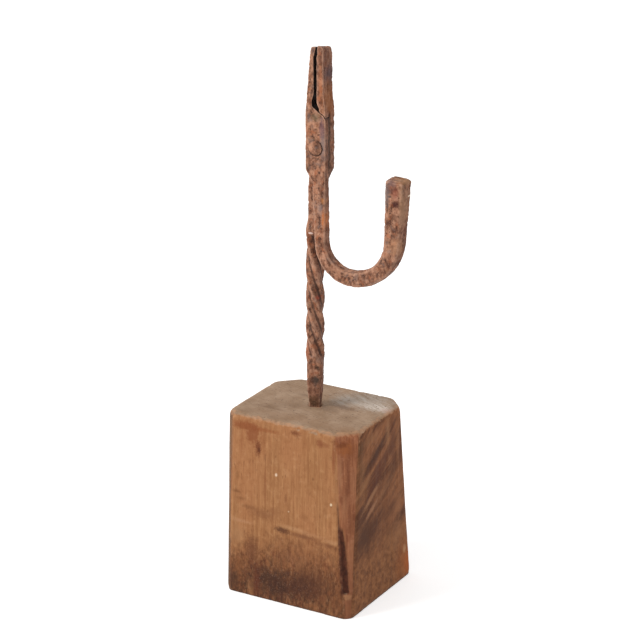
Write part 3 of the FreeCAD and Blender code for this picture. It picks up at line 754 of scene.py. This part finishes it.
def makeWood():
    wood, tree = newMaterial("oldPine")
    here = placeOf(tree)
    facing, spot = facingOf(tree), partsOf(tree, here)
    drivers = clouds(tree, here, woodClouds)
    drivers.update(clouds(tree, turnedBy(tree, here, *sawTurn), sawClouds))
    drivers.update(clouds(tree, turnedBy(tree, here, *endTurn), endClouds))
    drivers["height"] = spot[2]
    drivers["lateWood"] = yearRings(tree, here)
    drivers["ringShow"] = product(tree, drivers["lateWood"], ramped(tree, drivers["broad"], *rings["shown"]))
    side = dressed(tree, drivers, woodLooks["plain"])

    # dirt on the front
    soil = calc(tree, "SUBTRACT", drivers["mottle"], 0.5)
    rise = calc(tree, "ADD", spot[2], product(tree, soil, dirt["ragged"]))
    rise = calc(tree, "ADD", rise, ramped(tree, spot[0], *dirt["leftLift"]))
    drift = product(tree, calc(tree, "SUBTRACT", drivers["cloudy"], 0.5), dirt["deepRagged"])
    deep = ramped(tree, calc(tree, "ADD", spot[2], drift), *dirt["deepLine"])
    grime = paint(tree, deep, dressed(tree, drivers, woodLooks["grime"]),
                  dressed(tree, drivers, woodLooks["deepGrime"]))
    grime = stained(tree, drivers, grime, flecks)
    damp = product(tree, ramped(tree, rise, *dirt["line"]), ramped(tree, drivers["cloudy"], *dirt["cover"]))
    front = paintBlots(tree, paint(tree, damp, side, grime), frontBlots)
    bloom = product(tree, blot(tree, *dirt["bloom"]), ramped(tree, drivers["dust"], 0.55, 0.7, 0.0, 0.55))
    front = paint(tree, bloom, front, colour(*extras["bloom"]))
    dots = product(tree, speckle(tree, 0.9, 0.16, 0.12, (1, 1, 0.35)), 0.6)
    front = paint(tree, dots, front, colour(*extras["dots"]))
    # painted shade on the cut face at the front left
    leftCutShade = product(tree, ramped(tree, facing[0], *faces["leftCutX"]),
                      ramped(tree, facing[1], *faces["leftCutY"]),
                      ramped(tree, drivers["patchy"], 0.35, 0.65, 0.95, 0.6))
    front = paint(tree, leftCutShade, front, colour(*extras["leftCutShade"]))

    # the right side and the back are darker, with slanting saw marks
    dark = paint(tree, ramped(tree, spot[2], *faces["sawnFoot"]),
                 dressed(tree, drivers, woodLooks["sawnLow"]), dressed(tree, drivers, woodLooks["sawn"]))
    dark = paintBlots(tree, dark, rightBlots)
    dark = paintBlots(tree, dark, sawBlots, sawTurn)
    right, behind = ramped(tree, facing[0], *faces["right"]), ramped(tree, facing[1], *faces["behind"])
    side = paint(tree, calc(tree, "MAXIMUM", right, behind), front, dark)

    # the cut corner is redder, and the cleft in it has painted shade
    corner = product(tree, ramped(tree, facing[0], *faces["cornerX"]),
                     ramped(tree, facing[1], *faces["cornerY"]),
                     ramped(tree, facing[0], *faces["cornerEnd"]), faces["cornerStrength"])
    red = paintBlots(tree, dressed(tree, drivers, woodLooks["corner"]), bevelBlots)
    side = paint(tree, corner, side, red)
    side = paint(tree, cleftShadeMask(tree, spot), side, dressed(tree, drivers, woodLooks["cleft"]))

    # the end grain on top is pale and dry
    top = ramped(tree, calc(tree, "ADD", facing[2], product(tree, soil, 0.5)), *faces["top"])
    end = dressed(tree, drivers, woodLooks["end"])
    end = paintBlots(tree, end, paleBlots, thin=ramped(tree, drivers["threads"], 0.62, 0.40, 0.25, 1.0))
    end = paintBlots(tree, end, topBlots)
    end = paint(tree, speckle(tree, 0.9, 0.16, 0.08), end, colour(*extras["endDots"]))
    body = paint(tree, top, side, end)

    # rubbed edges, and darker in the hollows
    wear = useGroup(tree, effects["wear"], woodWear)
    rubbed = product(tree, wear["Edge"], ramped(tree, spot[2], *faces["rubbed"]))
    body = paint(tree, rubbed, body, colour(*extras["rubbed"]))
    body = paint(tree, product(tree, wear["Hollow"], 0.6), body, colour(*extras["hollow"]))
    finishShader(tree, body, ramped(tree, drivers["fibre"], *woodGloss),
                 weighed(tree, drivers, woodRelief), 0.45, 0.14)
    return wood


# Iron

stemWear = {
    "voxel": 0.30 * mm,
    "marks": (14, 0.25 * mm),           # rounds, and the drift that makes a full mark
    "lump": (0.16 * mm, 5.0, 2),        # depth, size in mm, octaves
    "grain": (0.08 * mm, 1.0, 2),
    "pit": (0.22 * mm, 2.0, 2),
    "pitLevel": 0.2,                    # the noise that leaves the skin whole
    "pitShift": 7.7,                    # takes the pits' noise from another place
    "edge": (0.10 * mm, 3.0, 2),
    "proud": 0.12 * mm,                 # how far it may stand out, away from the joint
    "full": 0.0 * mm,                   # swell of the bar below the joint
    "joint": 190 * mm,
    "lap": -4.9 * mm,
    "seam": 0.30 * mm,
    "seamReach": 0.7 * mm,
    "lapReach": 0.9 * mm,               # nothing else stands out this near to the seam
    "lapProud": 0.055 * mm,             # brings the two plates together
    "twist": (107.5, 168.9, 376.7, 1.25),               # foot, top, degrees, power
    "twistFade": 3,                     # mm past each end
    "flute": 0.42 * mm,                 # hollow of the flats along the twist
    "crown": (30 * mm, 190 * mm, 8 * mm, 0.05 * mm),    # the hook's end: x, z, fade, depth
}

armWear = dict(stemWear, lump=(0.14 * mm, 5.0, 2), pit=(0.20 * mm, 2.0, 2), full=0.20 * mm,
               proud=0.34 * mm, twist=None)
rivetWear = dict(stemWear, voxel=0.16 * mm, lump=(0.06 * mm, 5.0, 2), pit=(0.08 * mm, 2.0, 2),
                 grain=(0.03 * mm, 1.0, 2), edge=(0.05 * mm, 3.0, 2), proud=0.0, seam=0.0, twist=None)

ironClouds = {                          # stretch, scale, detail, roughness
    "broad": ((1, 1, 1), 0.16, 4.0, 0.6),
    "middle": ((1, 1, 0.6), 0.5, 5.0, 0.62),
    "fine": ((1, 1, 1), 1.5, 4.0, 0.6),
}

rustLook = [                            # as the wood's looks
    ("broad", 0.38, 0.62, (122, 80, 60), (160, 113, 88)),
    ("middle", 0.51, 0.63, 0.8, (190, 140, 113)),
    ("middle", 0.48, 0.38, 0.9, (78, 47, 36)),
    ("tint", 0.56, 0.66, 0.55, (166, 94, 58)),
    ("tint", 0.44, 0.36, 0.5, (122, 104, 98)),
    ("olive", 0.60, 0.70, 0.55, (112, 86, 54)),
    ("pores", 0, 1, 0.85, (60, 38, 32)),
    ("grains", 0, 1, 0.7, (204, 166, 142)),
    ("fine", 0.55, 0.72, 0.3, (188, 140, 114)),
    # painted shade on the side faces
    ("shadedSides", 0, 1, 0.4, (88, 50, 37)),
]

paintedJointShade = {                            # painted shade: the dark seam between the plates, the rivet's shadow ring and the black slot, mm
    "plane": -4.98,
    "width": (1.0, 0.55),
    "low": (195, 197),
    "high": (224, 221),
    "right": (12, 10),
    "lapFaces": (0.9, 0.7, 0.3, 1.0),   # less on the faces that lie together
    "pivot": (3.0, 0, 207.5),
    "rivet": (0.3, -0.1),               # round the rivet's head, beyond its radius
    "slotFoot": (219, 222),
}

# painted shade for the seam, the rivet's shadow ring, the hollows and the slot; the rubbed edges are wear and
# painted highlight
ironShadeAndWear = {
    "seam": (32, 18, 15),
    "ring": (40, 25, 21),
    "rubbed": (196, 152, 128),
    "hollow": (50, 31, 26),
    "slotShade": (24, 14, 11),
}

rustWearAndShade = {"Level": 0.4, "Soft": 0.45, "Ragged": 1.0, "Scale": 0.6}
rustGloss = (0.3, 0.7, 0.85, 0.62)      # roughness along the middle noise
rustMetal = (0.55, 0.7, 0.0, 0.2)       # metallic along the broad noise
rustRelief = {"middle": 0.7, "fine": 0.3}

stemBlots = [
    ((-1.7, -4.5, 167.4), (1.0, 3, 0.4), 0.3, 1.0, 1.0, (236, 208, 198)),
    ((7.0, -3.5, 240.0), (1.4, 4, 3.4), 0.5, 2.2, 0.75, (84, 66, 68)),
    ((6.5, -7.0, 246.5), (1.6, 4, 3.0), 0.5, 2.2, 0.60, (98, 60, 46)),
    ((5.5, -8.5, 236.0), (0.8, 2, 7.0), 0.5, 1.8, 0.50, (178, 108, 70)),
    ((7.4, -4.4, 228.0), (1.5, 4, 7.0), 0.6, 2.0, 0.60, (150, 92, 52)),
    ((1.5, -3.9, 138.0), (1.0, 3, 0.8), 0.5, 2.6, 0.65, (160, 70, 46)),
    ((0.8, -4.2, 99.4), (1.4, 3, 1.6), 0.4, 2.2, 0.85, (52, 54, 50)),
    ((1.4, -4.2, 105.0), (0.8, 3, 0.9), 0.4, 2.0, 0.80, (48, 34, 26)),
    ((-1.0, -4.0, 94.0), (5.0, 8, 8.0), 0.6, 1.6, 0.40, (92, 58, 44)),
    ((-0.6, -5.4, 88.5), (5.0, 8, 2.4), 0.6, 1.8, 0.55, (74, 58, 40)),
    ((1.5, -3.9, 128.0), (2.0, 3, 2.5), 0.5, 2.0, 0.50, (186, 136, 110)),
    ((-3.6, -4.4, 114.0), (1.2, 3, 6.0), 0.5, 1.8, 0.55, (164, 98, 70)),
]

armBlots = [
    ((6.6, -8.5, 209.5), (1.2, 3, 6.0), 0.5, 1.8, 0.75, (138, 118, 112)),
    ((6.2, -8.5, 216.5), (1.2, 3, 4.0), 0.5, 2.0, 0.70, (108, 76, 82)),
    ((7.9, -6.6, 210.0), (1.0, 0.6, 9.0), 0.5, 1.8, 0.50, (112, 72, 54)),
    ((7.2, -8.5, 203.5), (1.2, 3, 1.2), 0.5, 2.0, 0.60, (100, 78, 72)),
    ((3.0, -8.5, 221.0), (2.0, 3, 1.6), 0.5, 2.0, 0.60, (112, 94, 70)),
    ((7.4, -8.7, 176.0), (0.9, 3, 3.6), 0.5, 2.0, 0.80, (194, 112, 58)),
    ((7.0, -8.7, 184.5), (0.9, 3, 1.2), 0.5, 1.8, 0.65, (188, 122, 70)),
    ((5.6, -8.7, 181.0), (1.2, 3, 2.0), 0.5, 2.2, 0.60, (150, 128, 120)),
    ((38.9, -10.5, 193.5), (1.5, 3, 4.8), 0.5, 2.2, 0.75, (112, 100, 98)),
    ((41.4, -10.3, 198.4), (2.2, 3, 1.3), 0.5, 2.2, 0.70, (116, 92, 90)),
    ((43.4, -10.6, 189.4), (1.7, 3, 1.3), 0.4, 2.2, 0.95, (70, 34, 28)),
    ((43.0, -10.6, 194.0), (1.3, 3, 2.4), 0.6, 2.8, 0.65, (140, 76, 58)),
    ((40.8, -10.6, 195.5), (1.8, 3, 1.2), 0.6, 2.6, 0.55, (96, 66, 62)),
    ((45.6, -5.0, 200.0), (4.0, 5, 2.0), 0.7, 2.0, 0.55, (166, 124, 82)),
    ((42.8, -10.6, 183.5), (1.4, 3, 1.6), 0.5, 2.2, 0.70, (104, 68, 50)),
    ((46.0, -10.2, 190.0), (0.9, 5, 11.0), 0.5, 1.8, 0.60, (170, 130, 100)),
    ((44.0, -10.1, 170.0), (3.2, 3, 3.2), 0.6, 2.2, 0.55, (180, 132, 98)),
    ((46.9, -4.4, 192.0), (0.8, 1.3, 0.5), 0.3, 0.6, 1.0, (230, 206, 182)),
]


def makeIron(name, blots, rivetShadow=0.0, shadedSlotWall=False):
    iron, tree = newMaterial(name)
    here = placeOf(tree)
    facing, spot = facingOf(tree), partsOf(tree, here)
    drivers = clouds(tree, here, ironClouds)
    drivers["tint"] = cloud(tree, vectorCalc(tree, "ADD", here, (31, 7, 53)), 0.3, 4.0, 0.6)
    drivers["olive"] = cloud(tree, vectorCalc(tree, "ADD", here, (5, 71, 19)), 0.55, 4.0, 0.6)
    drivers["pores"] = speckle(tree, 0.85, 0.28, 0.12)
    drivers["grains"] = speckle(tree, 1.3, 0.16, 0.16)
    # painted shade: faces turned to the left or right are darker
    drivers["shadedSides"] = calc(tree, "MAXIMUM", ramped(tree, facing[0], 0.55, 0.9),
                               ramped(tree, facing[0], -0.8, -0.97))
    rust = paintBlots(tree, dressed(tree, drivers, rustLook), blots)

    # painted shade in the seam between the plates
    lap = calc(tree, "ABSOLUTE", calc(tree, "SUBTRACT", spot[1], paintedJointShade["plane"]))
    ahead = calc(tree, "ABSOLUTE", facing[1])
    seam = product(tree, ramped(tree, lap, *paintedJointShade["width"]), ramped(tree, spot[2], *paintedJointShade["low"]),
                   ramped(tree, spot[2], *paintedJointShade["high"]), ramped(tree, spot[0], *paintedJointShade["right"]),
                   ramped(tree, ahead, *paintedJointShade["lapFaces"]), 0.95)
    rust = paint(tree, seam, rust, colour(*ironShadeAndWear["seam"]))
    if rivetShadow:                     # a dark ring on the plate, more of it at the lower right
        pivotX, _, pivotZ = paintedJointShade["pivot"]
        away = vectorCalc(tree, "SUBTRACT", here, paintedJointShade["pivot"])
        reach = lengthOf(tree, vectorCalc(tree, "MULTIPLY", away, (1, 0, 1)))
        lower = calc(tree, "SUBTRACT", calc(tree, "SUBTRACT", spot[0], pivotX),
                     calc(tree, "SUBTRACT", spot[2], pivotZ))
        lower = calc(tree, "ADD", lower, product(tree, drivers["middle"], 6))
        outside, inside = [rivetShadow + part for part in paintedJointShade["rivet"]]
        ring = product(tree, ramped(tree, reach, outside, inside), ramped(tree, lower, 0, 4, 0.25, 0.95))
        rust = paint(tree, ring, rust, colour(*ironShadeAndWear["ring"]))

    wear = useGroup(tree, effects["wear"], rustWearAndShade)
    # paler on outer edges that face the front: rubbed wear, and painted highlight where the light falls
    rubbed = product(tree, wear["Edge"], ramped(tree, facing[1], -0.15, -0.5), 0.5)
    rust = paint(tree, rubbed, rust, colour(*ironShadeAndWear["rubbed"]))
    # painted shade in the hollows and along the middle of each twisted flat
    rust = paint(tree, product(tree, wear["Hollow"], 0.75), rust, colour(*ironShadeAndWear["hollow"]))
    if shadedSlotWall:                        # painted shade: the moving jaw's wall in the slot is painted black, as the deep slot is in shade
        wall = product(tree, ramped(tree, facing[0], 0.25, 0.5),
                       ramped(tree, spot[2], *paintedJointShade["slotFoot"]), 0.95)
        rust = paint(tree, wall, rust, colour(*ironShadeAndWear["slotShade"]))
    shader = finishShader(tree, rust, ramped(tree, drivers["middle"], *rustGloss),
                          weighed(tree, drivers, rustRelief), 0.4, 0.2)
    tree.links.new(ramped(tree, drivers["broad"], *rustMetal), shader.inputs["Metallic"])
    return iron


def fluteMarks(places, wear):           # 1 along the middle of each twisted flat
    foot, top, turn, power = wear["twist"]
    fade = wear["twistFade"]
    height = places[:, 2] / mm
    share = np.clip((top - height) / (top - foot), 0, 1)
    angle = np.arctan2(places[:, 1] / mm - block["stem"][1], places[:, 0] / mm - block["stem"][0])
    fluted = 0.5 + 0.5 * np.cos(4 * (angle - np.radians(turn) * share ** power))
    begun = np.clip((height - foot + fade) / (2 * fade), 0, 1)
    left = np.clip((top + fade - height) / (2 * fade), 0, 1)
    return fluted * begun * left


def makeForged(nodeName, pieceName, wear, material, body):
    piece = evenSkin(nodeName, pieceName, wear["voxel"])
    places, normals, ends = readSkin(piece.data)
    marks = edgeMarks(places, normals, ends, *wear["marks"])
    corners = places.min(0), places.max(0)
    fluted = fluteMarks(places, wear) if wear["twist"] else np.zeros(len(places))
    # the middle of each twisted flat counts as a hollow, for the painted shade
    marks = marks - fluted ** 5
    lumpDepth, *lumpKind = wear["lump"]
    grainDepth, *grainKind = wear["grain"]
    pitDepth, *pitKind = wear["pit"]
    edgeDepth, *edgeKind = wear["edge"]
    endSide, endFoot, endFade, endDepth = wear["crown"]
    for index in range(len(places)):
        point = places[index]
        atEnd = point[0] > endSide
        push = lumpDepth * (0.1 + 0.9 * fractal(point, *lumpKind))
        push -= wear["full"] if point[2] < wear["joint"] or atEnd else 0
        push += wear["flute"] * fluted[index] ** 1.5 + grainDepth * fractal(point, *grainKind)
        pit = fractal(point + wear["pitShift"], *pitKind) - wear["pitLevel"]
        push += pitDepth * min(max(pit, 0) * 2.5, 1)
        crown = min(max((point[2] - endFoot) / endFade, 0), 1) if atEnd else 0
        rubbed = max(marks[index], 0.0) * (0.5 + 0.9 * fractal(point, *edgeKind))
        push += edgeDepth * rubbed * (1 - crown) + endDepth * crown
        lap = abs(point[1] - wear["lap"])
        near = wear["joint"] < point[2]
        proud = 0.0 if near and lap < wear["lapReach"] else wear["proud"]
        if wear["seam"] and near and lap < wear["seamReach"]:   # open at its rim, its faces close
            if abs(normals[index][1]) > 0.8:
                proud = wear["lapProud"]
                push = -proud
            else:
                push += wear["seam"] * (1 - lap / wear["seamReach"])
        places[index] = point - normals[index] * max(push, -proud)
    keepSkin(piece, np.clip(places, *corners), marks, material, body, nodeName)


makeCamera()
makeStudio()
makeBlock()
makeForged("stem", "rusty_stem", stemWear, makeIron("stemRust", stemBlots), "holder")
makeForged("jaw_arm", "rusty_arm", armWear, makeIron("armRust", armBlots, 3.55, True), "arm")
makeForged("pivot_rivet", "rusty_rivet", rivetWear, makeIron("rivetRust", []), "holder")

scene.view_settings.view_transform = "Standard"
